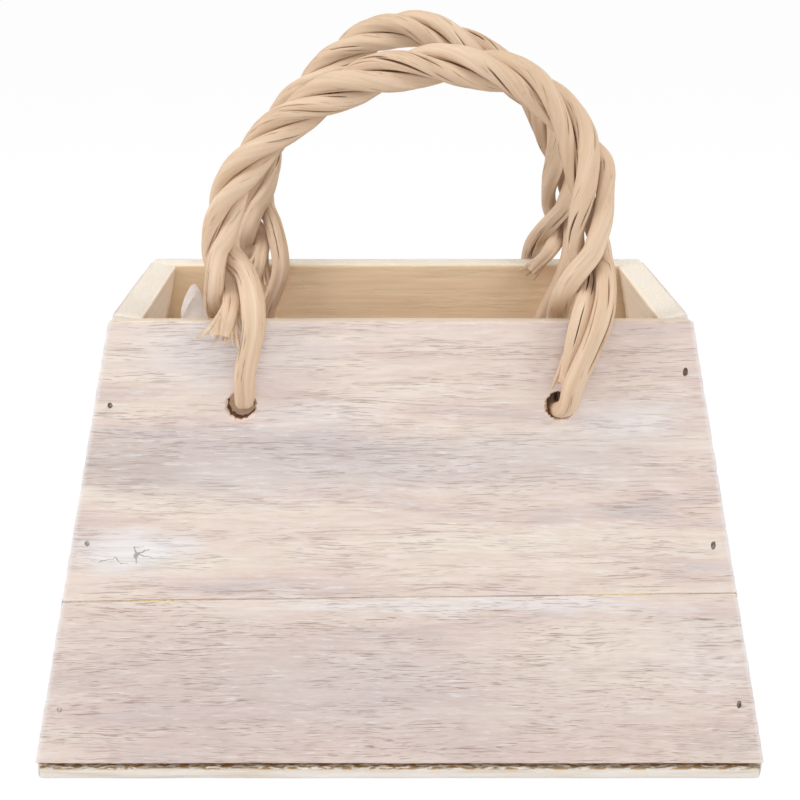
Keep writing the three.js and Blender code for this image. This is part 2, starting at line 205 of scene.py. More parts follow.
class Graph:
    """The nodes of one material or world, made by short calls that give back sockets."""

    def __init__(self, owner):
        owner.use_nodes = True
        self.owner = owner
        self.tree = owner.node_tree
        self.tree.nodes.clear()

    def add(self, kind, inputs=None, **settings):
        node = self.tree.nodes.new(kind)
        for key, value in settings.items():
            setattr(node, key, value)
        for key, value in (inputs or {}).items():
            self.feed(node.inputs[key], value)
        return node

    def feed(self, socket, value):
        if isinstance(value, bpy.types.NodeSocket):
            self.tree.links.new(value, socket)
        else:
            socket.default_value = value

    def attribute(self, name):
        return self.add("ShaderNodeAttribute", attribute_name=name)

    def place(self, vector, scale, move=(0, 0, 0)):
        sockets = {"Vector": vector, "Scale": scale, "Location": move}
        return self.add("ShaderNodeMapping", sockets).outputs[0]

    def split(self, vector):
        return self.add("ShaderNodeSeparateXYZ", {0: vector}).outputs

    def vector(self, operation, *vectors):
        """Vector arithmetic that gives a vector."""
        return self.add("ShaderNodeVectorMath", dict(enumerate(vectors)), operation=operation).outputs[0]

    def measure(self, operation, *vectors):
        """Vector arithmetic that gives a number."""
        return self.add("ShaderNodeVectorMath", dict(enumerate(vectors)), operation=operation).outputs[1]

    def noise(self, vector, detail=2.0, roughness=0.5):
        sockets = {"Vector": vector, "Scale": 1.0, "Detail": detail, "Roughness": roughness}
        return self.add("ShaderNodeTexNoise", sockets)

    def spots(self, vector, length, width, detail=2.0, roughness=0.5):
        """Noise whose spots are this long along x and this wide across it."""
        return self.noise(self.place(vector, (1 / length, 1 / width, 1 / width)), detail, roughness)

    def grain(self, *spots):
        return self.spots(*spots).outputs["Fac"]

    def sway(self, *spots):
        return self.spots(*spots).outputs["Color"]

    def math(self, operation, a, b=0.0):
        return self.add("ShaderNodeMath", {0: a, 1: b}, operation=operation).outputs[0]

    def fade(self, value, low, high, start=0.0, end=1.0):
        sockets = {"Value": value, "From Min": low, "From Max": high, "To Min": start, "To Max": end}
        return self.add("ShaderNodeMapRange", sockets, interpolation_type="SMOOTHSTEP").outputs[0]

    def mix(self, share, a, b, blend="MIX"):
        sockets = {0: share, 6: a, 7: b}
        return self.add("ShaderNodeMix", sockets, data_type="RGBA", blend_type=blend).outputs[2]

    def ramp(self, value, stops):
        node = self.add("ShaderNodeValToRGB", {"Fac": value})
        elements = node.color_ramp.elements
        while len(elements) < len(stops):
            elements.new(1.0)
        for element, (position, colour) in zip(elements, stops):
            element.position = position
            element.color = colour
        return node.outputs["Color"]

    def bump(self, height, distance, strength):
        sockets = {"Height": height, "Distance": distance, "Strength": strength}
        return self.add("ShaderNodeBump", sockets).outputs[0]

    def surface(self, shader):
        output = self.add("ShaderNodeOutputMaterial")
        self.feed(output.inputs["Surface"], shader.outputs[0])

    def principled(self, inputs):
        """Ends a material with its shader and gives the material back."""
        self.surface(self.add("ShaderNodeBsdfPrincipled", inputs))
        return self.owner


def srgb(red, green, blue):
    """A colour written in 0 to 255 screen values, as the linear colour that shaders take."""
    def linear(value):
        share = value / 255
        return share / 12.92 if share <= 0.04045 else ((share + 0.055) / 1.055) ** 2.4
    return (linear(red), linear(green), linear(blue), 1.0)


# Camera, stage and light

def add_object(name, data):
    thing = bpy.data.objects.new(name, data)
    bpy.context.scene.collection.objects.link(thing)
    return thing


def add_camera():
    data = bpy.data.cameras.new("camera")
    data.sensor_width = SENSOR
    data.lens = CAMERA_FOCUS_PX / PHOTO_PX * SENSOR
    data.shift_x = (PHOTO_PX / 2 - CAMERA_CENTRE_X_PX) / PHOTO_PX
    data.clip_start = 0.01
    camera = add_object("camera", data)
    camera.location = CAMERA_PLACE
    camera.rotation_euler = (math.radians(90 - CAMERA_PITCH), 0, 0)
    bpy.context.scene.camera = camera


def add_softbox(name, place, power):
    data = bpy.data.lights.new(name, "AREA")
    data.shape = "DISK"
    data.size = LAMP_SIZE
    data.energy = power
    lamp = add_object(name, data)
    lamp.location = place
    lamp.rotation_euler = (Vector(LAMP_TARGET) - Vector(place)).to_track_quat("-Z", "Y").to_euler()


def set_world():
    world = bpy.data.worlds.new("studio")
    bpy.context.scene.world = world
    graph = Graph(world)
    light_path = graph.add("ShaderNodeLightPath")
    seen = graph.math("MAXIMUM", light_path.outputs["Is Camera Ray"], light_path.outputs["Is Glossy Ray"])
    seen = graph.math("MAXIMUM", seen, light_path.outputs["Is Transmission Ray"])
    strength = graph.fade(seen, 0.0, 1.0, AMBIENT, 1.0)
    background = graph.add("ShaderNodeBackground", {"Color": (1, 1, 1, 1), "Strength": strength})
    output = graph.add("ShaderNodeOutputWorld")
    graph.feed(output.inputs["Surface"], background.outputs[0])


def add_floor():
    corners = [(x * FLOOR_REACH, y * FLOOR_REACH, 0) for x, y in ((-1, -1), (1, -1), (1, 1), (-1, 1))]
    mesh = make_mesh("floor", corners, [(0, 1, 2, 3)])
    floor = add_object("floor", mesh)
    material = bpy.data.materials.new("pale_floor")
    graph = Graph(material)
    matt = graph.add("ShaderNodeBsdfDiffuse", {"Color": (0.92, 0.92, 0.92, 1)})
    glow = graph.add("ShaderNodeEmission", {"Color": (1, 1, 1, 1), "Strength": 1.04})
    light_path = graph.add("ShaderNodeLightPath")
    share = graph.math("MULTIPLY", light_path.outputs["Is Camera Ray"], 0.9)
    graph.surface(graph.add("ShaderNodeMixShader", {0: share, 1: matt.outputs[0], 2: glow.outputs[0]}))
    mesh.materials.append(material)
    floor.location.z = -FLOOR_GAP


# Random fields

LATTICE = 256


def lattice(x, y, seed, wrap):
    """Random numbers at the corners of each place's cell, and the place's shares across and up it."""
    table = np.random.RandomState(seed).rand(LATTICE, LATTICE)
    column, row = np.floor(x).astype(int), np.floor(y).astype(int)
    steps = ((0, 0), (1, 0), (0, 1), (1, 1))
    corners = [table[(column + right) % wrap, (row + above) % LATTICE] for right, above in steps]
    return corners, x - column, y - row


def value_noise(x, y, seed, wrap=LATTICE):
    """Smooth noise from 0 to 1 with one lattice cell per unit, which repeats after wrap cells along x."""
    (low_left, low_right, high_left, high_right), across, up = lattice(x, y, seed, wrap)
    across, up = across * across * (3 - 2 * across), up * up * (3 - 2 * up)
    low = low_left * (1 - across) + low_right * across
    high = high_left * (1 - across) + high_right * across
    return low * (1 - up) + high * up


def facet_noise(x, y, seed, wrap=LATTICE):
    """Noise like value_noise, made of flat triangles as on crumpled film."""
    (below, right, left, above), across, up = lattice(x, y, seed, wrap)
    low = below + (right - below) * across + (left - below) * up
    high = above + (left - above) * (1 - across) + (right - above) * (1 - up)
    return np.where(across + up > 1, high, low)


def smooth_step(value, low, high):
    share = np.clip((value - low) / (high - low), 0, 1)
    return share * share * (3 - 2 * share)


# Meshes

def set_vectors(mesh, name, vectors):
    attribute = mesh.attributes.new(name, "FLOAT_VECTOR", "POINT")
    attribute.data.foreach_set("vector", np.asarray(vectors, np.float32).ravel())


def set_values(mesh, name, values):
    attribute = mesh.attributes.new(name, "FLOAT", "POINT")
    attribute.data.foreach_set("value", np.asarray(values, np.float32).ravel())


def vertex_array(mesh):
    places = np.zeros(len(mesh.vertices) * 3, np.float32)
    mesh.vertices.foreach_get("co", places)
    return places.reshape(-1, 3).astype(float)


def make_mesh(name, points, faces):
    mesh = bpy.data.meshes.new(name)
    mesh.from_pydata([tuple(point) for point in points], [], faces)
    mesh.update()
    return mesh


def tube_faces(rings, sides):
    """Quads round a tube and caps on its two ends."""
    faces = []
    for i in range(rings - 1):
        for k in range(sides):
            here, beside = i * sides + k, i * sides + (k + 1) % sides
            faces.append((here, beside, beside + sides, here + sides))
    faces.append(tuple(reversed(range(sides))))
    faces.append(tuple(range((rings - 1) * sides, rings * sides)))
    return faces


def add_piece(name, mesh, material, body, slot, *nodes):
    """Puts a mesh in the scene as a piece that rides on a body and stands for CAD nodes."""
    mesh.materials.clear()
    mesh.materials.append(material)
    piece = add_object(name, mesh)
    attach(piece, body)
    if nodes:
        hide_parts(*nodes)
    return piece


def shade(mesh, sharp_angle):
    mesh.shade_smooth()
    mesh.set_sharp_from_angle(angle=math.radians(sharp_angle))


# Boards

# A board's section: turns round an eased corner, and points over an edge without and with its two corners
EASE_TURNS = (30, 60)
EDGE_POINTS = 5
SIDE_POINTS = EDGE_POINTS + 2 * len(EASE_TURNS)


def section_points(count, thickness, low_ease, high_ease):
    """The section of a board as rows of share across, offset, depth and normal, from the outer face on."""
    def face(depth, normal):
        shares = np.linspace(0, 1, count)
        return [(t, low_ease * (1 - t) - high_ease * t, depth, 0.0, normal) for t in shares]

    def corner(t, ease, depth, start):
        middle = ease if t == 0 else -ease
        points = []
        for turn in EASE_TURNS:
            angle = math.radians(start + turn)
            across, out = math.sin(angle), math.cos(angle)
            points.append((t, middle + ease * across, depth + ease * out, across, out))
        return points

    def edge(t, ease, normal):
        depths = np.linspace(-ease, ease - thickness, EDGE_POINTS)
        return [(t, 0.0, depth, normal, 0.0) for depth in depths]

    points = face(0.0, 1.0)
    points += corner(1, high_ease, -high_ease, 0)
    points += edge(1, high_ease, 1.0)
    points += corner(1, high_ease, high_ease - thickness, 90)
    points += reversed(face(-thickness, -1.0))
    points += corner(0, low_ease, low_ease - thickness, 180)
    points += reversed(edge(0, low_ease, -1.0))
    points += corner(0, low_ease, -low_ease, 270)
    return np.array(points)


def station_points(count):
    """Sections along a board as rows of share along it, offset from the end and shrinking."""
    turns = np.radians((0,) + EASE_TURNS)
    ends = [(EDGE_EASE * (1 - math.cos(a)), EDGE_EASE * (1 - math.sin(a))) for a in turns]
    left = [(0.0, offset, shrink) for offset, shrink in ends]
    middle = [(p, EDGE_EASE * (1 - 2 * p), 0.0) for p in np.linspace(0, 1, count)]
    right = [(1.0, -offset, shrink) for offset, shrink in reversed(ends)]
    return np.array(left + middle + right)


# How fine a board's mesh is, along it and across it
FINE = (2.0 * MM, 0.5 * MM)
COARSE = (2.5 * MM, 0.8 * MM)
BASE_STEP = (0.8 * MM, 2.5 * MM)


def brushed_depth(u, v, seed):
    """How far brushed wood is worn below its flat face."""
    wave = value_noise(u / (25 * MM), v / (6 * MM), seed + 3) * 1.6 * MM
    fine = value_noise(u / (14 * MM), (v + wave) / (0.9 * MM), seed)
    broad = value_noise(u / (40 * MM), (v + wave) / (3.5 * MM), seed + 1)
    return (0.10 * fine ** 2 + 0.10 * broad) * MM


def board_faces(rows, columns):
    """Quads over a board's sides and caps on its two ends."""
    faces = []
    for i in range(rows - 1):
        for k in range(columns):
            here, beside = i * columns + k, i * columns + (k + 1) % columns
            faces.append((here, here + columns, beside + columns, beside))
    count = columns // 2 - SIDE_POINTS
    inner_last = 2 * count + SIDE_POINTS - 1
    for start, flip in ((0, False), ((rows - 1) * columns, True)):
        caps = [(k, k + 1, inner_last - k - 1, inner_last - k) for k in range(count - 1)]
        caps.append(tuple(range(count - 1, count + SIDE_POINTS + 1)))
        caps.append(tuple(range(inner_last, columns)) + (0,))
        for cap in caps:
            loop = tuple(start + k for k in cap)
            faces.append(loop[::-1] if flip else loop)
    return faces


def board_mesh(name, half_width, low, high, eases, thickness, seed, step, chips=0.0):
    """A board between two edges that may slope, with eased corners and brushed faces, in its own frame.
    chips is how deep splinters are broken out of the lower edge of its outer face."""
    height = max(high) - min(low)
    section = section_points(max(int(height / step[1]), 8), thickness, *eases)
    stations = station_points(max(int(2 * half_width(np.array(low[0])) / step[0]), 8))
    share, offset, depth, normal_v, normal_w = section.T[:, None, :]
    along, inset, shrink = stations.T[:, :, None]
    bottom = low[0] + (low[1] - low[0]) * along
    top = high[0] + (high[1] - high[0]) * along
    v = bottom + (top - bottom) * share + offset - shrink * normal_v
    w = depth - shrink * normal_w + 0 * along
    u = (2 * along - 1) * half_width(v) + inset
    worn = brushed_depth(u, v + 0.5 * w, seed)
    ragged = (value_noise(v / (2.2 * MM), w / (3 * MM), seed + 5) - 0.5) * 0.25 * MM
    chipped = np.exp(-(((v - bottom) / (0.7 * MM)) ** 2) - (w / (0.8 * MM)) ** 2)
    chipped = chipped * chips * smooth_step(value_noise(u / (2.4 * MM), 0 * u, seed + 7), 0.35, 0.75)
    u = u + ragged * np.clip(np.abs(2 * along - 1) * 40 - 39, 0, 1)
    v = v - worn * normal_v + 0.4 * chipped
    w = w - worn * normal_w - chipped
    points = np.stack([u, v, w], axis=-1).reshape(-1, 3)
    return make_mesh(name, points, board_faces(len(stations), len(section)))


def prism(sides, rings, middle, radii, seed):
    """A closed, slightly uneven prism as points and faces; rings are depths and widenings, rising."""
    uneven = 1 + 0.14 * (np.random.RandomState(seed).rand(sides) - 0.5)
    turns = np.linspace(0, 2 * math.pi, sides, endpoint=False)
    points = []
    for depth, wide in rings:
        x = middle[0] + (radii[0] * uneven + wide) * np.cos(turns)
        y = middle[1] + (radii[1] * uneven + wide) * np.sin(turns)
        points += [(a, b, depth) for a, b in zip(x, y)]
    return points, tube_faces(len(rings), sides)


def join(shapes):
    """Several point and face lists as one."""
    points, faces = [], []
    for some_points, some_faces in shapes:
        start = len(points)
        points += list(some_points)
        faces += [tuple(start + k for k in face) for face in some_faces]
    return points, faces


def cut(mesh, shapes):
    """The mesh with closed shapes taken out of it."""
    board = add_object("board_to_cut", mesh)
    cutter = add_object("cutter", make_mesh("cutter", *join(shapes)))
    modifier = board.modifiers.new("cut", "BOOLEAN")
    modifier.operation = "DIFFERENCE"
    modifier.solver = "MANIFOLD"
    modifier.object = cutter
    depsgraph = bpy.context.evaluated_depsgraph_get()
    result = bpy.data.meshes.new_from_object(board.evaluated_get(depsgraph))
    for thing in (board, cutter):
        bpy.data.objects.remove(thing)
    return result


def dress_board(name, mesh, matrix, material, slot, node, half_width, seed):
    """Gives a board's mesh its coordinates for the material and puts it in its place."""
    places = vertex_array(mesh)
    random = np.random.RandomState(seed)
    set_vectors(mesh, "board", places)
    set_vectors(mesh, "grain", places + random.rand(3) * 3.0)
    set_values(mesh, "end_distance", half_width(places[:, 1]) - np.abs(places[:, 0]))
    mesh.transform(matrix)
    shade(mesh, 40)
    add_piece(name, mesh, material, "crate", slot, node)


def long_half_width(v):
    return (BOTTOM_LENGTH + (TOP_LENGTH - BOTTOM_LENGTH) * v / LONG_SLOPE) / 2


def end_half_width(v):
    return half_room(BOTTOM_DEPTH / 2, LONG_LEAN, foot_lift(END_LEAN) + v * math.cos(END_LEAN)) - GAP


def base_half_width(v):
    past = np.clip(np.abs(v) - (BASE_Y - BASE_CORNER), 0, BASE_CORNER)
    return BASE_X - BASE_CORNER + np.sqrt(BASE_CORNER ** 2 - past ** 2)


def hole_cutters(seed):
    """Handle holes with broken edges."""
    rings = [(-BOARD - 1 * MM, 1.2 * MM), (-BOARD, 0.5 * MM), (0.6 * MM - BOARD, 0.0)]
    rings += [(-1.4 * MM, 0.0), (0.0, 0.55 * MM), (1 * MM, 1.0 * MM)]
    places = [(side * HOLE_SPAN / 2, HOLE_HEIGHT) for side in (-1, 1)]
    radii = (HOLE_RADIUS, HOLE_RADIUS)
    return [prism(44, rings, place, radii, seed + i) for i, place in enumerate(places)]


def nail_cutters(heights, side, low, high, seed):
    """Pockets over the nail heads that lie on the board, half filled with paint at the left."""
    rings = [(-1.25 * MM, 0.0), (-0.2 * MM, 0.0), (1 * MM, 0.25 * MM)]
    places = [(side * (long_half_width(v) - NAIL_INSET), v) for v in heights if low < v < high]
    radii = FILLED_POCKET if side < 0 else NAIL_POCKET
    return [prism(12, rings, place, radii, seed + i) for i, place in enumerate(places)]


def long_wall_cutters(low, high, seed):
    """What is taken out of a long wall's board between two heights."""
    shapes = nail_cutters(LEFT_NAILS, -1, low, high, seed)
    shapes += nail_cutters(RIGHT_NAILS, 1, low, high, seed + 10)
    if low < HOLE_HEIGHT < high:
        shapes += hole_cutters(seed)
    return shapes


def add_wall(name, half_width, seam, top, material, seed, step, cutters=None):
    """A wall of two boards, edge to edge."""
    lower = ("lower", (0.0, 0.0), seam, (EDGE_EASE, SEAM_EASE))
    upper = ("upper", tuple(v + SEAM_GAP for v in seam), (top, top), (SEAM_EASE, EDGE_EASE))
    for part, low, high, eases in (lower, upper):
        piece = f"{name}_{part}_plank"
        mesh = board_mesh(piece, half_width, low, high, eases, BOARD, seed, step)
        if cutters:
            mesh = cut(mesh, cutters(low[0], high[0], seed))
        node = f"{name}_{part}_board"
        dress_board(piece, mesh, WALLS[name], material, "whitewashed_wood", node, half_width, seed)
        seed += 20


def add_seam_glue(name, half_width, seam, material, seed):
    """The glue that was pressed out of a seam and wiped off, just below the faces of the boards."""
    low, high = seam
    count = 140
    share = np.linspace(0, 1, count)
    middle = low + (high - low) * share + SEAM_GAP / 2
    u = (2 * share - 1) * (half_width(middle) - EDGE_EASE)
    proud = -0.12 * MM - 0.16 * MM * value_noise(u / (6 * MM), 0 * u, seed)
    half = SEAM_GAP / 2
    wide = half + 0.06 * MM
    inner, neck = SEAM_EASE - BOARD, -SEAM_EASE - 0.1 * MM
    section = [(-half, inner), (half, inner), (half, neck), (wide, 0.0), (-wide, 0.0), (-half, neck)]
    points = []
    for place, height, top in zip(u, middle, proud):
        points += [(place, height + across, depth if depth < 0 else top) for across, depth in section]
    mesh = make_mesh(f"{name}_seam_glue", points, tube_faces(count, len(section)))
    set_vectors(mesh, "grain", points)
    mesh.transform(WALLS[name])
    shade(mesh, 40)
    add_piece(f"{name}_seam_glue", mesh, material, "crate", "whitewashed_wood")


def seam_glue():
    graph = Graph(bpy.data.materials.new("seam_glue"))
    grain = graph.attribute("grain").outputs["Vector"]
    tone = graph.grain(grain, 30 * MM, 30 * MM, 3.0, 0.6)
    tones = [(0.4, srgb(180, 164, 152)), (0.52, srgb(204, 184, 160)), (0.64, srgb(226, 198, 140))]
    colour = graph.ramp(tone, tones)
    crumbs = graph.grain(grain, 1.0 * MM, 1.0 * MM, 3.0)
    colour = graph.mix(graph.fade(crumbs, 0.5, 0.7, 0.0, 0.6), colour, srgb(150, 126, 108))
    return graph.principled({
        "Base Color": colour,
        "Roughness": graph.fade(crumbs, 0.3, 0.7, 0.6, 0.8),
        "Normal": graph.bump(crumbs, 0.1 * MM, 0.4),
    })


def add_base(material, seed, step):
    low, high = (-BASE_Y, -BASE_Y), (BASE_Y, BASE_Y)
    eases = (EDGE_EASE, EDGE_EASE)
    mesh = board_mesh("base_plank", base_half_width, low, high, eases, BASE, seed, step, chips=0.9 * MM)
    rings = [(-BASE - 1 * MM, 0.25 * MM), (0.2 * MM - BASE, 0.0), (1.25 * MM - BASE, 0.0)]
    shapes = []
    for sign in (-1, 1):
        y = sign * (BOTTOM_DEPTH / 2 - LONG_BASE_NAIL_INSET)
        x = sign * (BOTTOM_LENGTH / 2 - END_BASE_NAIL_INSET)
        shapes += [prism(12, rings, (place, y), NAIL_POCKET[::-1], seed) for place in LONG_BASE_NAILS]
        shapes += [prism(12, rings, (x, place), NAIL_POCKET, seed) for place in END_BASE_NAILS]
    mesh = cut(mesh, shapes)
    place = Matrix.Translation((0, 0, BASE))
    dress_board("base_plank", mesh, place, material, "base_wood", "base_board", base_half_width, seed)


# Wood

CREAM = srgb(228, 218, 207)
BEIGE = srgb(225, 211, 201)
PINK = srgb(218, 201, 193)
GREY = srgb(203, 194, 193)
BROWN_GREY = srgb(196, 183, 178)
# Dull whitewash tone, which also serves as painted shade over the lower front board
DULL_AND_PAINTED_SHADE = srgb(204, 190, 186)
WHITE = srgb(229, 227, 228)
PORE = srgb(150, 124, 114)
TINGE = (0.93, 0.905, 0.89, 1)
LIFT = (1.02, 1.02, 1.02, 1)
EDGE = srgb(238, 230, 217)
EDGE_DARK = srgb(226, 204, 178)
# The front wall's bare edges: the edge colour painted darker, as painted shade
FRONT_EDGE_PAINTED_SHADE = srgb(224, 206, 184)
# Hole colours: torn wood at a hole's mouth made paler as painted light where the vine shades it, and
# painted shade deeper in the hole
HOLE_TORN_PAINTED_LIGHT = srgb(255, 236, 224)
HOLE_PAINTED_SHADE = srgb(168, 124, 102)
LONG_RAW = (srgb(237, 208, 173), srgb(247, 222, 189))
# The end walls' raw inner faces: the same raw wood painted lighter, as painted light for the shade in the
# crate's corners
END_RAW_PAINTED_LIGHT = (srgb(251, 230, 207), srgb(254, 240, 221))

# Where the whitewash is thicker or thinner on the front, and painted shade over the lower board: place and
# half sizes in mm, colour and strength
FRONT_PATCHES = [
    # Painted shade: the whole lower board made duller, darker low down as if less light falls there
    ((0, 18), (130, 32), DULL_AND_PAINTED_SHADE, 0.6),
    ((-40, 84), (75, 11), GREY, 0.75),
    ((-72, 83), (22, 8), BROWN_GREY, 0.8),
    ((-15, 88), (35, 7), GREY, 0.6),
    ((35, 82), (45, 9), GREY, 0.5),
    ((62, 96), (20, 7), WHITE, 0.55),
    ((-25, 97), (25, 5), WHITE, 0.4),
    ((45, 112), (40, 13), PINK, 0.6),
    ((-72, 60), (19, 8), WHITE, 0.95),
    ((20, 45), (75, 3), WHITE, 0.6),
    ((-10, 22), (50, 17), GREY, 0.45),
    ((-60, 22), (48, 26), DULL_AND_PAINTED_SHADE, 0.6),
    ((55, 30), (45, 14), CREAM, 0.5),
    ((84, 28), (16, 11), WHITE, 0.25),
    ((-45, 114), (30, 13), WHITE, 0.55),
    ((8, 114), (22, 11), PINK, 0.4),
    ((45, 89), (45, 8), GREY, 0.4),
    ((80, 40), (22, 8), GREY, 0.3),
    ((15, 8), (18, 9), DULL_AND_PAINTED_SHADE, 0.5),
    ((92, 5), (14, 6), BROWN_GREY, 0.6),
]
KNOT = (-70.8 * MM, 59.0 * MM)

# Cracks of the painted-over knot in millimetres off its middle: start, end and half width
KNOT_CRACKS = [
    ((-0.1, -0.3), (0.4, 0.3), 0.8),
    ((0.0, 0.0), (-0.7, 1.9), 0.32),
    ((-0.7, 1.9), (2.0, 2.1), 0.16),
    ((0.0, 0.2), (3.5, 1.4), 0.3),
    ((0.3, 0.0), (4.8, -1.1), 0.2),
    ((0.0, 0.0), (-0.3, -2.4), 0.34),
    ((-5.8, -0.7), (-4.4, -2.4), 0.13),
    ((-4.4, -2.4), (-2.0, -2.8), 0.12),
    ((-10.0, -1.9), (-6.0, -1.1), 0.16),
]


def add_patches(graph, board, grain, colour, patches):
    """Places where the whitewash is thicker or thinner, and painted shade, with ragged limits."""
    drift = graph.sway(grain, 22 * MM, 7 * MM, 3.0, 0.6)
    drift = graph.place(drift, (26 * MM, 9 * MM, 0), (-13 * MM, -4.5 * MM, 0))
    loose = graph.vector("ADD", board, drift)
    for (x, y), (half_x, half_y), tint, strength in patches:
        scale = (1 / (half_x * MM), 1 / (half_y * MM), 0)
        far = graph.measure("LENGTH", graph.place(loose, scale, (-x / half_x, -y / half_y, 0)))
        colour = graph.mix(graph.fade(far, 0.25, 1.15, strength, 0.0), colour, tint)
    return colour


def add_streaks(graph, flow, streaks, colour):
    """Mottled and chalky whitewash, streaked along the grain."""
    mottle = graph.grain(flow, 9 * MM, 1.8 * MM, 4.0, 0.65)
    colour = graph.mix(0.9, colour, graph.ramp(mottle, [(0.3, TINGE), (0.7, LIFT)]), "MULTIPLY")
    chalk = graph.grain(flow, 7 * MM, 0.8 * MM, 3.0, 0.6)
    colour = graph.mix(graph.fade(chalk, 0.54, 0.72, 0.0, 0.5), colour, WHITE)
    return graph.mix(0.7, colour, graph.ramp(streaks, [(0.3, TINGE), (0.65, LIFT)]), "MULTIPLY")


def pore_cover(graph, flow):
    """How much of each place is pores: short dashes and longer threads, in clusters."""
    clusters = graph.fade(graph.grain(flow, 26 * MM, 5 * MM, 2.0), 0.34, 0.64, 0.15, 1.0)
    dashes = graph.fade(graph.grain(flow, 5 * MM, 0.24 * MM, 2.0), 0.57, 0.68)
    threads = graph.fade(graph.grain(flow, 15 * MM, 0.34 * MM, 1.5), 0.6, 0.72)
    return graph.math("MULTIPLY", graph.math("MAXIMUM", dashes, threads), clusters)


def add_bare_wood(graph, grain, flow, depth, colour, edge, raw_tones):
    """Bare edges and a raw inner face, with a little whitewash at the ends of the board."""
    raw_dark, raw_light = raw_tones
    speckle = graph.grain(grain, 1.2 * MM, 0.8 * MM, 3.0)
    edge_colour = graph.mix(graph.fade(speckle, 0.4, 0.65, 0.0, 0.35), edge, EDGE_DARK)
    colour = graph.mix(graph.fade(depth, -0.5 * MM, -1.0 * MM), colour, edge_colour)
    raw_tone = graph.grain(flow, 60 * MM, 3 * MM, 3.0, 0.6)
    raw = graph.ramp(raw_tone, [(0.35, raw_dark), (0.65, raw_light)])
    colour = graph.mix(graph.fade(depth, 0.9 * MM - BOARD, 0.4 * MM - BOARD), colour, raw)
    end = graph.attribute("end_distance").outputs["Fac"]
    return graph.mix(graph.fade(end, 0.2 * MM, 1.6 * MM, 0.5, 0.0), colour, WHITE)


def whitewash(name, raw_tones, edge, patches=(), knots=(), holes=True):
    """Brushed wood with whitewash rubbed in on its outer face, bare edges and a raw inner face."""
    graph = Graph(bpy.data.materials.new(name))
    board = graph.attribute("board").outputs["Vector"]
    grain = graph.attribute("grain").outputs["Vector"]
    spot = graph.split(board)
    wave = graph.place(graph.sway(grain, 30 * MM, 9 * MM, 1.0), (0, 2.6 * MM, 0), (0, -1.3 * MM, 0))
    flow = graph.vector("ADD", grain, wave)
    clouds = graph.grain(flow, 75 * MM, 10 * MM, 3.0, 0.6)
    streaks = graph.grain(flow, 40 * MM, 1.0 * MM, 3.0, 0.6)
    pores = pore_cover(graph, flow)
    pore_strength = graph.fade(spot["Y"], 40 * MM, 52 * MM, 0.8, 0.52)

    colour = graph.ramp(clouds, [(0.3, GREY), (0.42, PINK), (0.52, BEIGE), (0.68, CREAM)])
    colour = add_patches(graph, board, grain, colour, patches)
    colour = add_streaks(graph, flow, streaks, colour)
    colour = graph.mix(graph.math("MULTIPLY", pores, pore_strength), colour, PORE)
    for knot in knots:
        colour = add_knot(graph, board, colour, knot)
    colour = add_bare_wood(graph, grain, flow, spot["Z"], colour, edge, raw_tones)
    if holes:
        colour = add_painted_hole_light_and_shade(graph, board, spot["Z"], colour)
    return graph.principled({
        "Base Color": colour,
        "Roughness": graph.fade(clouds, 0.3, 0.7, 0.85, 0.7),
        "Normal": graph.bump(graph.math("SUBTRACT", streaks, pores), 0.15 * MM, 0.6),
        "Specular IOR Level": 0.25,
    })


def add_painted_hole_light_and_shade(graph, board, depth, colour):
    """Torn pale wood round the handle holes, made paler still as painted light, and painted shade further
    in.
    """
    folded = graph.vector("ABSOLUTE", board)
    far = graph.measure("LENGTH", graph.place(folded, (1, 1, 0), (-HOLE_SPAN / 2, -HOLE_HEIGHT, 0)))
    near = graph.fade(far, HOLE_RADIUS + 0.6 * MM, HOLE_RADIUS + 1.0 * MM, 1.0, 0.0)
    # Painted light at the mouth of the hole, painted shade deeper in
    sides = graph.mix(graph.fade(depth, -1.0 * MM, -1.8 * MM), HOLE_TORN_PAINTED_LIGHT, HOLE_PAINTED_SHADE)
    inside = graph.math("MULTIPLY", near, graph.fade(depth, -0.05 * MM, -0.3 * MM))
    return graph.mix(inside, colour, sides)


def crack_line(graph, place, start, end, half):
    """How much of a tapering line from start to end covers each place."""
    along = (end[0] - start[0], end[1] - start[1], 0)
    length = along[0] ** 2 + along[1] ** 2
    off = graph.place(place, (1, 1, 0), (-start[0], -start[1], 0))
    share = graph.math("DIVIDE", graph.measure("DOT_PRODUCT", off, along), length)
    share = graph.math("MINIMUM", graph.math("MAXIMUM", share, 0.0), 1.0)
    reached = graph.add("ShaderNodeVectorMath", {0: along, "Scale": share}, operation="SCALE").outputs[0]
    far = graph.measure("DISTANCE", off, reached)
    width = graph.fade(share, 0.0, 1.0, half, 0.45 * half)
    return graph.fade(graph.math("DIVIDE", far, width), 0.4, 1.4, 1.0, 0.0)


def add_knot(graph, board, colour, knot):
    """A painted-over knot with uneven cracks."""
    inside = graph.place(board, (1 / MM, 1 / MM, 0), (-knot[0] / MM, -knot[1] / MM, 0))
    warp = graph.noise(graph.place(inside, (0.6, 0.6, 0)), 3.0, 0.6).outputs["Color"]
    bent = graph.vector("ADD", inside, graph.place(warp, (1.4, 1.4, 0), (-0.7, -0.7, 0)))
    cracks = 0.0
    for start, end, half in KNOT_CRACKS:
        cracks = graph.math("MAXIMUM", crack_line(graph, bent, start, end, half), cracks)
    return graph.mix(graph.math("MULTIPLY", cracks, 0.75), colour, srgb(138, 126, 124))


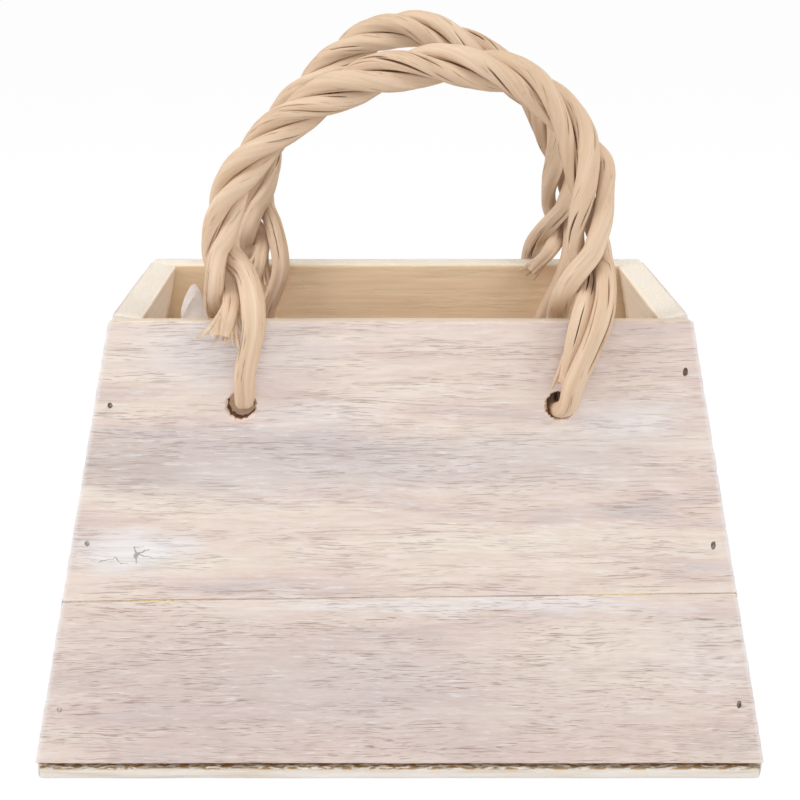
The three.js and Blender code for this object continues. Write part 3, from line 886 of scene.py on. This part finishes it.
def base_wood():
    graph = Graph(bpy.data.materials.new("base_wood"))
    board = graph.attribute("board").outputs["Vector"]
    grain = graph.attribute("grain").outputs["Vector"]
    tone = graph.grain(grain, 30 * MM, 1.2 * MM, 4.0, 0.6)
    tones = [(0.3, srgb(205, 194, 178)), (0.5, srgb(219, 212, 203)), (0.7, srgb(226, 221, 214))]
    near_top = graph.fade(graph.split(board)["Z"], -1.0 * MM, -0.3 * MM)
    splinter = graph.grain(grain, 3 * MM, 0.8 * MM, 3.0)
    # Dark brown along the top of the base near its ends and sides, just under the walls' feet: torn wood,
    # and painted shade of the gap under the walls
    torn = graph.math("MULTIPLY", near_top, graph.fade(splinter, 0.42, 0.55))
    reach = graph.split(graph.vector("ABSOLUTE", board))
    at_end = graph.fade(reach["X"], BASE_X - 6 * MM, BASE_X - 4 * MM)
    at_side = graph.fade(reach["Y"], BASE_Y - 6 * MM, BASE_Y - 4 * MM)
    torn = graph.math("MULTIPLY", torn, graph.math("MAXIMUM", at_end, at_side))
    return graph.principled({
        "Base Color": graph.mix(torn, graph.ramp(tone, tones), srgb(150, 118, 78)),
        "Roughness": graph.fade(tone, 0.3, 0.7, 0.9, 0.75),
        "Normal": graph.bump(tone, 0.2 * MM, 0.5),
        "Specular IOR Level": 0.2,
    })


# Vines

def unit(vectors):
    return vectors / np.linalg.norm(vectors, axis=-1, keepdims=True)


def smooth_path(points, step):
    """Rows evenly spaced along a smooth curve through the given rows, which begin with a place."""
    given = np.array(points, float)
    given = np.vstack([2 * given[0] - given[1], given, 2 * given[-1] - given[-2]])
    share = np.linspace(0, 1, 16, endpoint=False)[:, None]
    line = []
    for before, start, end, after in zip(given, given[1:], given[2:], given[3:]):
        pairs = ((before, start), (start, end), (end, after))
        first, middle, last = [np.linalg.norm((b - a)[:3]) ** 0.5 for a, b in pairs]
        leave = (end - start) + middle * ((start - before) / first - (end - before) / (first + middle))
        reach = (end - start) + middle * ((after - end) / last - (after - start) / (middle + last))
        line.append(
            (2 * share ** 3 - 3 * share ** 2 + 1) * start
            + (share ** 3 - 2 * share ** 2 + share) * leave
            + (3 * share ** 2 - 2 * share ** 3) * end
            + (share ** 3 - share ** 2) * reach
        )
    line = np.vstack(line + [given[-2:-1]])
    lengths = np.concatenate([[0], np.cumsum(np.linalg.norm(np.diff(line[:, :3], axis=0), axis=1))])
    at = np.linspace(0, lengths[-1], int(lengths[-1] / step) + 1)
    return np.stack([np.interp(at, lengths, column) for column in line.T], axis=1)


# A row of a vine's route is a point of its middle line, the point that it lies round, and how loose it is.

def route_row(x, above_rim, z, loose=1.0):
    y = LONG_SLOPE + above_rim
    return np.array([x, y, z, x, y, -BOARD / 2, loose])


def run_rows(arch, start_angle, kink=0.0):
    """One twisted run, from the left end of the arch to the right one, pushed off the others by a kink."""
    along = unit(np.gradient(arch, axis=0))
    at = np.linspace(0, len(arch) - 1, COIL_SAMPLES + 1).round().astype(int)
    share = np.linspace(0, 1, COIL_SAMPLES + 1)
    twist = 2 * math.pi * COIL_TURNS * (share * (1 + COIL_SLACKENING) - COIL_SLACKENING * share ** 2)
    angle = (start_angle + twist)[:, None]
    swell = np.exp(-(((share - 0.5) / 0.2) ** 2))[:, None]
    loose = smooth_step(share, 0.72, 1)[:, None]
    outward = np.stack([-along[at, 1], along[at, 0], 0 * share], axis=1)
    facing = np.array([[0, 0, 1]])
    radius = COIL_RADIUS + COIL_SWELL * swell + COIL_LOOSENING * loose
    push = kink * np.exp(-(((share - KINK_PLACE) / KINK_SPREAD) ** 2))[:, None]
    line = arch[at] + radius * np.cos(angle) * facing + (push - radius * np.sin(angle)) * outward
    return list(np.hstack([line, arch[at], np.maximum(0.6 * loose, 0.6 * swell)]))


def turn_rows(x, lean, bulge, rise=0.0):
    """The turn through a hole, from outside to inside; lean slants its outer leg, bulge moves it out."""
    middle = np.array([x, HOLE_HEIGHT + rise - LOOP_DROP + LOOP_RADIUS, bulge - BOARD / 2])
    angles = np.radians([10, 50, 90, 130, 170])
    across = lean * np.maximum(0, np.cos(angles))
    spokes = np.stack([across, -LOOP_RADIUS * np.sin(angles), LOOP_RADIUS * np.cos(angles)], axis=1)
    return [np.concatenate([middle + spoke, middle, [0.5]]) for spoke in spokes]


def vine_route(arch_points, tail):
    """A vine's route in its wall's frame: left tail, three twisted runs joined by turns, and right tail."""
    outside, inside = STRADDLE, -BOARD - STRADDLE
    arch_rows = [route_row(x, above_rim, -BOARD / 2)[:3] for x, above_rim in arch_points]
    arch = smooth_path(arch_rows, 0.25 * MM)
    hole = HOLE_SPAN / 2
    left_foot = (arch_points[0][0] - hole) / 2
    right_foot = (arch_points[-1][0] + hole) / 2
    third = 2 * math.pi / 3
    route = [route_row(left_foot - 1 * MM, -3.4 * MM, outside + 0.2 * MM, 0.2)]
    route += [route_row(left_foot + 0.3 * MM, 1.5 * MM, outside - 0.8 * MM, 0.3)]
    route += [route_row(left_foot + 0.1 * MM, 8.5 * MM, -4.2 * MM, 0.3)]
    route += [route_row(left_foot - 4 * MM, 14 * MM, -6.8 * MM, 0.2)]
    route += run_rows(arch, -third)
    route += [route_row(right_foot + 7.6 * MM, 8 * MM, 1.6 * MM, 0.6)]
    route += [route_row(right_foot + 5.6 * MM, 0, outside + 1.4 * MM, 0.8)]
    route += turn_rows(hole, 3 * MM, 0.7 * MM)
    route += [route_row(right_foot - 3.6 * MM, 0, inside, 0.6)]
    route += [route_row(right_foot - 1.8 * MM, 10 * MM, -1.6 * MM, 0.5)]
    route += run_rows(arch, 0, KINK_REACH)[::-1]
    route += [route_row(left_foot - 4 * MM, 9.5 * MM, 0, 0.5)]
    route += [route_row(left_foot - 4.2 * MM, 0, inside)]
    route += turn_rows(LEFT_LOOP_SHIFT - hole, 0.6 * MM, 0, LEFT_LOOP_RISE)[::-1]
    route += [route_row(left_foot + 6.7 * MM, 0, outside)]
    route += [route_row(left_foot + 4.4 * MM, 12 * MM, -1.2 * MM, 0.6)]
    route += run_rows(arch, third)
    route += [route_row(right_foot + 3.6 * MM, 10 * MM, -4.9 * MM, 0.6)]
    route += [route_row(right_foot + x, above_rim, z, 0.6) for x, above_rim, z in tail]
    return smooth_path(route, VINE_STEP)


def crack_depths(along, around, seed):
    """Lengthwise cracks in the dry vine."""
    random = np.random.RandomState(seed)
    depth = np.zeros(np.broadcast(along, around).shape)
    for _ in range(CRACKS):
        middle = random.uniform(0, along.max())
        half = random.uniform(3, 11) * MM
        place = random.uniform(0, 2 * math.pi)
        drift = random.uniform(-20, 20)
        deep = random.uniform(0.3, 0.85) * MM
        wide = random.uniform(0.1, 0.24) * MM
        window = np.sqrt(np.clip(1 - ((along - middle) / half) ** 2, 0, 1))
        aside = (around - place - drift * (along - middle) + math.pi) % (2 * math.pi) - math.pi
        depth = np.maximum(depth, deep * window * np.exp(-((aside * VINE_LEG[0] / wide) ** 2)))
    return depth


def flat_side(tangent, out):
    """The way a strand's flat side faces: to or off the core, turned evenly where it passes it closely."""
    across = [np.array([0.0, 0.0, 1.0])]
    for direction in tangent:
        across.append(unit(across[-1] - direction * across[-1].dot(direction)))
    across = np.array(across[1:])
    beside = np.cross(tangent, across)
    facing = (out * across).sum(axis=1) + 1j * (out * beside).sum(axis=1)
    spread = np.exp(-((np.arange(-24, 25) * VINE_STEP / FLAT_SIDE_SPREAD) ** 2))
    angle = np.unwrap(np.angle(np.convolve(facing ** 2, spread, mode="same"))) / 2
    return np.cos(angle)[:, None] * across + np.sin(angle)[:, None] * beside


def strand_radius(along, around, loose, seed):
    """How far the peeled vine's surface is off its middle line, and how deep its cracks are."""
    turn = around / (2 * math.pi)
    girth = 1 + 0.12 * (value_noise(along / (28 * MM), 0 * along, seed) - 0.5)
    girth = girth + 0.1 * (value_noise(along / (9 * MM), 0 * along, seed + 1) - 0.5)
    whole = smooth_step(np.minimum(along, along.max() - along), 0, VINE_TIP_LENGTH)
    halves = []
    for tip, twist, leg in zip(VINE_TIP, VINE_TWIST, VINE_LEG):
        full = twist + (leg - twist) * loose
        halves.append(girth * (tip + (full - tip) * whole))
    across = np.abs(np.cos(around) / halves[0]) ** VINE_SQUARENESS
    across = across + np.abs(np.sin(around) / halves[1]) ** VINE_SQUARENESS
    ridges = (value_noise(turn * 9, along / (32 * MM), seed + 2, wrap=9) - 0.5) * 0.4 * MM
    fibres = (value_noise(turn * 28, along / (14 * MM), seed + 3, wrap=28) - 0.5) * 0.1 * MM
    cracks = crack_depths(along, around, seed + 4)
    return across ** (-1 / VINE_SQUARENESS) + ridges + fibres - cracks, cracks


def vine_surface(route, seed):
    """Points of a vine along its route, how deep each lies in a crack, and its place in the fibres."""
    line, core, loose = route[:, :3], route[:, 3:6], route[:, 6:]
    tangent = unit(np.gradient(line, axis=0))
    out = flat_side(tangent, line - core)
    side = np.cross(tangent, out)
    along = (np.arange(len(line)) * VINE_STEP)[:, None]
    around = np.linspace(0, 2 * math.pi, VINE_SIDES, endpoint=False)[None, :]
    radius, cracks = strand_radius(along, around, loose, seed)
    cos, sin = np.cos(around), np.sin(around)
    spokes = cos[..., None] * out[:, None] + sin[..., None] * side[:, None]
    fibre = np.broadcast_arrays(along, VINE_LEG[0] * cos, VINE_LEG[0] * sin)
    return line[:, None] + radius[..., None] * spokes, cracks / DEEP_CRACK, np.stack(fibre, axis=-1)


def torn_end(line, torn, seed):
    """Splayed flat slivers at the torn end where a vine's line begins, fanned out along the wall."""
    rows, count, splay = torn
    end, inner = line[0], line[rows]
    random = np.random.RandomState(seed)
    forward = unit(end - inner)
    facing = np.array([0.0, 0.0, 1.0])
    facing = unit(facing - forward * forward[2])
    side = np.cross(facing, forward)
    shapes = []
    for lane in np.linspace(-1, 1, count):
        root = inner + side * lane * 1.6 * MM + facing * random.uniform(-1.2, 1.2) * MM
        length = np.linalg.norm(end - inner) + random.uniform(0.3, 2.8) * MM
        away = splay * lane + random.uniform(-0.12, 0.12)
        wide = random.uniform(0.45, 0.85) * MM
        points = []
        for share in np.linspace(0, 1, SLIVER_RINGS):
            middle = root + forward * length * share + side * away * length * share ** 1.6
            middle = middle + facing * random.uniform(-0.08, 0.08) * MM
            taper = 1 - 0.6 * share ** 3
            for angle in np.arange(SLIVER_SIDES) * 2 * math.pi / SLIVER_SIDES:
                spoke = side * math.cos(angle) * wide + facing * math.sin(angle) * 0.35 * MM
                points.append(tuple(middle + spoke * taper))
        shapes.append((points, tube_faces(SLIVER_RINGS, SLIVER_SIDES)))
    return join(shapes)


def add_handle(name, arch_points, tail, material, place, seed):
    route = vine_route(arch_points, tail)
    surface, cracks, fibre = vine_surface(route, seed)
    points = surface.reshape(-1, 3)
    left = torn_end(route[:, :3], LEFT_TORN, seed + 20)
    right = torn_end(route[::-1, :3], RIGHT_TORN, seed + 21)
    vine_points, faces = join([(points, tube_faces(len(route), VINE_SIDES)), left, right])
    mesh = make_mesh(f"{name}_twist", vine_points, faces)
    slivers = np.array(vine_points[len(points):])
    set_values(mesh, "crack", np.concatenate([cracks.ravel(), np.zeros(len(slivers))]))
    set_vectors(mesh, "fibre", np.vstack([fibre.reshape(-1, 3), slivers[:, [1, 0, 2]]]))
    mesh.transform(place)
    shade(mesh, 60)
    add_piece(f"{name}_vine_twist", mesh, material, f"{name}_handle", "vine", f"{name}_handle_vine")


def vine_bark():
    graph = Graph(bpy.data.materials.new("peeled_vine"))
    fibre = graph.attribute("fibre").outputs["Vector"]
    crack = graph.attribute("crack").outputs["Fac"]
    tone = graph.grain(fibre, 45 * MM, 2.5 * MM, 3.0, 0.6)
    tones = [(0.3, srgb(201, 172, 143)), (0.5, srgb(210, 183, 156)), (0.7, srgb(220, 196, 171))]
    colour = graph.ramp(tone, tones)
    streaks = graph.grain(fibre, 22 * MM, 0.5 * MM, 3.0, 0.6)
    colour = graph.mix(graph.fade(streaks, 0.5, 0.75, 0.0, 0.24), colour, srgb(198, 162, 132))
    patches = graph.fade(graph.grain(fibre, 16 * MM, 2.2 * MM, 2.0), 0.48, 0.62)
    dashes = graph.fade(graph.grain(fibre, 6 * MM, 0.2 * MM, 2.0), 0.6, 0.68)
    splits = graph.math("MULTIPLY", dashes, patches)
    colour = graph.mix(graph.math("MULTIPLY", splits, 0.75), colour, srgb(128, 88, 58))
    # Painted shade in the cracks: darker the deeper a place lies in one
    colour = graph.mix(graph.fade(crack, 0.15, 0.65), colour, srgb(112, 74, 46))
    return graph.principled({
        "Base Color": colour,
        "Roughness": graph.fade(tone, 0.3, 0.7, 0.75, 0.6),
        "Normal": graph.bump(graph.math("SUBTRACT", streaks, splits), 0.12 * MM, 0.5),
        "Specular IOR Level": 0.3,
    })


# Liner

def rounded_outline(half_x, half_y, radius, count):
    """Points spaced evenly round a rounded rectangle."""
    middles = [(1, 1, 0), (-1, 1, 90), (-1, -1, 180), (1, -1, 270)]
    corners = []
    for sign_x, sign_y, start in middles:
        turns = np.radians(start + np.linspace(0, 90, 25))
        x = sign_x * (half_x - radius) + radius * np.cos(turns)
        y = sign_y * (half_y - radius) + radius * np.sin(turns)
        corners.append(np.stack([x, y], axis=1))
    line = np.vstack(corners + [corners[0][:1]])
    lengths = np.concatenate([[0], np.cumsum(np.linalg.norm(np.diff(line, axis=0), axis=1))])
    at = np.linspace(0, lengths[-1], count, endpoint=False)
    return np.interp(at, lengths, line[:, 0]), np.interp(at, lengths, line[:, 1])


def film_top(x, y, share):
    """The film's upper edge at points of its outline and their share of the way round."""
    turn = 2 * math.pi * share
    top = FILM_HEIGHT + FILM_WAVE * (np.sin(7 * turn) + 0.6 * np.sin(11 * turn + 1))
    top = top + 4 * MM * (facet_noise(share * 120, 0 * share, 905, wrap=120) - 0.5)
    ear_x, ear_y = x.max() - FILM_EAR_INSET[0], y.max() - FILM_EAR_INSET[1]
    ears = []
    for (side_x, side_y), rise in FILM_EARS.items():
        far = np.hypot(x - side_x * ear_x, y - side_y * ear_y)
        far = np.where(side_x * x < ear_x, FILM_EAR_SKEW, 1.0) * far
        fall = (far - FILM_EAR_NEAR) / (FILM_EAR_FAR - FILM_EAR_NEAR)
        ears.append(rise * (1 - np.clip(fall, 0, 1)))
    return top + np.max(ears, axis=0)


def film_points():
    """Rows of points from the film's upper edge down the walls and over the floor."""
    floor = BASE + 2 * GAP + 0.2 * MM
    floor_x, floor_y = room(floor)
    share = np.arange(FILM_AROUND) / FILM_AROUND
    foot_x, foot_y = rounded_outline(floor_x - FILM_CLEAR, floor_y - FILM_CLEAR, FILM_CORNER, FILM_AROUND)
    top = film_top(foot_x, foot_y, share)
    rows = []
    for level in np.linspace(1, 0, FILM_LEVELS):
        z = floor + (top - floor) * level
        coarse = facet_noise(share * 34, z / (13 * MM), 901, wrap=34)
        fine = facet_noise(share * 96, z / (5 * MM), 902, wrap=96)
        off = FILM_STANDS_OFF * smooth_step(z, *FILM_LEAVES_WALL)
        off = off * (1 - 0.85 * smooth_step(z, *FILM_NEARS_WALL))
        facets = 0.7 * coarse + (0.3 + 0.6 * smooth_step(z, *FILM_FINER_FOLDS)) * fine
        inset = FILM_CLEAR + (0.25 + 0.75 * level) * FILM_CRUMPLE * facets + off
        room_x, room_y = room(z)
        x = foot_x * (room_x - inset) / (floor_x - FILM_CLEAR)
        y = foot_y * (room_y - inset) / (floor_y - FILM_CLEAR)
        rows.append(np.stack([x, y, z], axis=1))
    foot = rows[-1]
    for ring in np.linspace(1, 0, FILM_FLOOR_RINGS, endpoint=False)[1:]:
        x, y = foot[:, 0] * ring, foot[:, 1] * ring
        bulge = 1.4 * MM * facet_noise(x / (9 * MM) + 40, y / (9 * MM) + 40, 903) * min(1, 6 * (1 - ring))
        rows.append(np.stack([x, y, floor + bulge], axis=1))
    return rows


def add_liner():
    rows = film_points()
    points = list(np.vstack(rows))
    faces = []
    for row in range(len(rows) - 1):
        for k in range(FILM_AROUND):
            here, beside = row * FILM_AROUND + k, row * FILM_AROUND + (k + 1) % FILM_AROUND
            faces.append((here, here + FILM_AROUND, beside + FILM_AROUND, beside))
    last = (len(rows) - 1) * FILM_AROUND
    faces += [(last + k, len(points), last + (k + 1) % FILM_AROUND) for k in range(FILM_AROUND)]
    points.append(np.append(np.mean(rows[-1][:, :2], axis=0), rows[-1][:, 2].mean()))
    mesh = make_mesh("liner_film", points, faces)
    set_vectors(mesh, "film", points)
    shade(mesh, 25)
    liner = add_piece("crumpled_liner", mesh, clear_film(), "crate", "film", "film_liner")


def clear_film():
    graph = Graph(bpy.data.materials.new("clear_film"))
    place = graph.attribute("film").outputs["Vector"]
    haze = graph.noise(graph.place(place, (90, 90, 90)), 4.0, 0.6).outputs[0]
    crumpled = graph.fade(graph.split(place)["Z"], 84 * MM, 100 * MM, 0.25, 1.05)
    creases = graph.noise(graph.place(place, (420, 420, 420)), 3.0, 0.7).outputs[0]
    return graph.principled({
        "Base Color": graph.ramp(haze, [(0.35, srgb(252, 243, 240)), (0.65, srgb(255, 253, 251))]),
        "Roughness": graph.fade(haze, 0.3, 0.7, 0.12, 0.32),
        "Alpha": graph.math("MULTIPLY", graph.fade(haze, 0.3, 0.7, 0.8, 0.98), crumpled),
        "Normal": graph.bump(creases, 0.3 * MM, 0.5),
        "Specular IOR Level": 0.9,
    })


# Nails

def nail_steel(name, bright, dull):
    graph = Graph(bpy.data.materials.new(name))
    place = graph.add("ShaderNodeTexCoord").outputs["Object"]
    rust = graph.noise(graph.place(place, (900, 900, 900)), 3.0, 0.6).outputs[0]
    return graph.principled({
        "Base Color": graph.ramp(rust, [(0.4, bright), (0.62, dull)]),
        "Metallic": 0.7,
        "Roughness": graph.fade(rust, 0.3, 0.7, 0.4, 0.75),
        "Normal": graph.bump(rust, 0.05 * MM, 0.4),
    })


# The whole object

bpy.context.scene.view_settings.view_transform = "Standard"
add_camera()
set_world()
add_floor()
for lamp_name, (lamp_place, lamp_power) in LAMPS.items():
    add_softbox(lamp_name, lamp_place, lamp_power)

front_wash = whitewash("front_whitewash", LONG_RAW, FRONT_EDGE_PAINTED_SHADE, FRONT_PATCHES, [KNOT])
rear_wash = whitewash("rear_whitewash", LONG_RAW, EDGE)
end_wash = whitewash("end_whitewash", END_RAW_PAINTED_LIGHT, EDGE, holes=False)
add_wall("front", long_half_width, LONG_SEAM, LONG_SLOPE, front_wash, 11, FINE, long_wall_cutters)
add_wall("rear", long_half_width, LONG_SEAM, LONG_SLOPE, rear_wash, 111, COARSE, long_wall_cutters)
add_wall("right_end", end_half_width, END_SEAM, END_SLOPE, end_wash, 211, COARSE)
add_wall("left_end", end_half_width, END_SEAM, END_SLOPE, end_wash, 311, COARSE)
glue = seam_glue()
add_seam_glue("front", long_half_width, LONG_SEAM, glue, 51)
add_seam_glue("rear", long_half_width, LONG_SEAM, glue, 52)
add_seam_glue("right_end", end_half_width, END_SEAM, glue, 53)
add_seam_glue("left_end", end_half_width, END_SEAM, glue, 54)
add_base(base_wood(), 411, BASE_STEP)
add_liner()

bark = vine_bark()
add_handle("front", FRONT_ARCH, FRONT_TAIL, bark, WALLS["front"], 501)
turned_about = Matrix.Translation((0, 0, -BOARD)) @ Matrix.Rotation(math.pi, 4, "Y")
add_handle("rear", REAR_ARCH, REAR_TAIL, bark, WALLS["rear"] @ turned_about, 601)

steel = nail_steel("brad_steel", srgb(140, 134, 128), srgb(104, 78, 58))
painted_steel = nail_steel("painted_brad_steel", srgb(214, 206, 200), srgb(168, 156, 148))
for node_name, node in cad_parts.items():
    if "_nail_" in node_name:
        painted = node_name in PAINTED_NAILS
        node.data.materials.clear()
        node.data.materials.append(painted_steel if painted else steel)
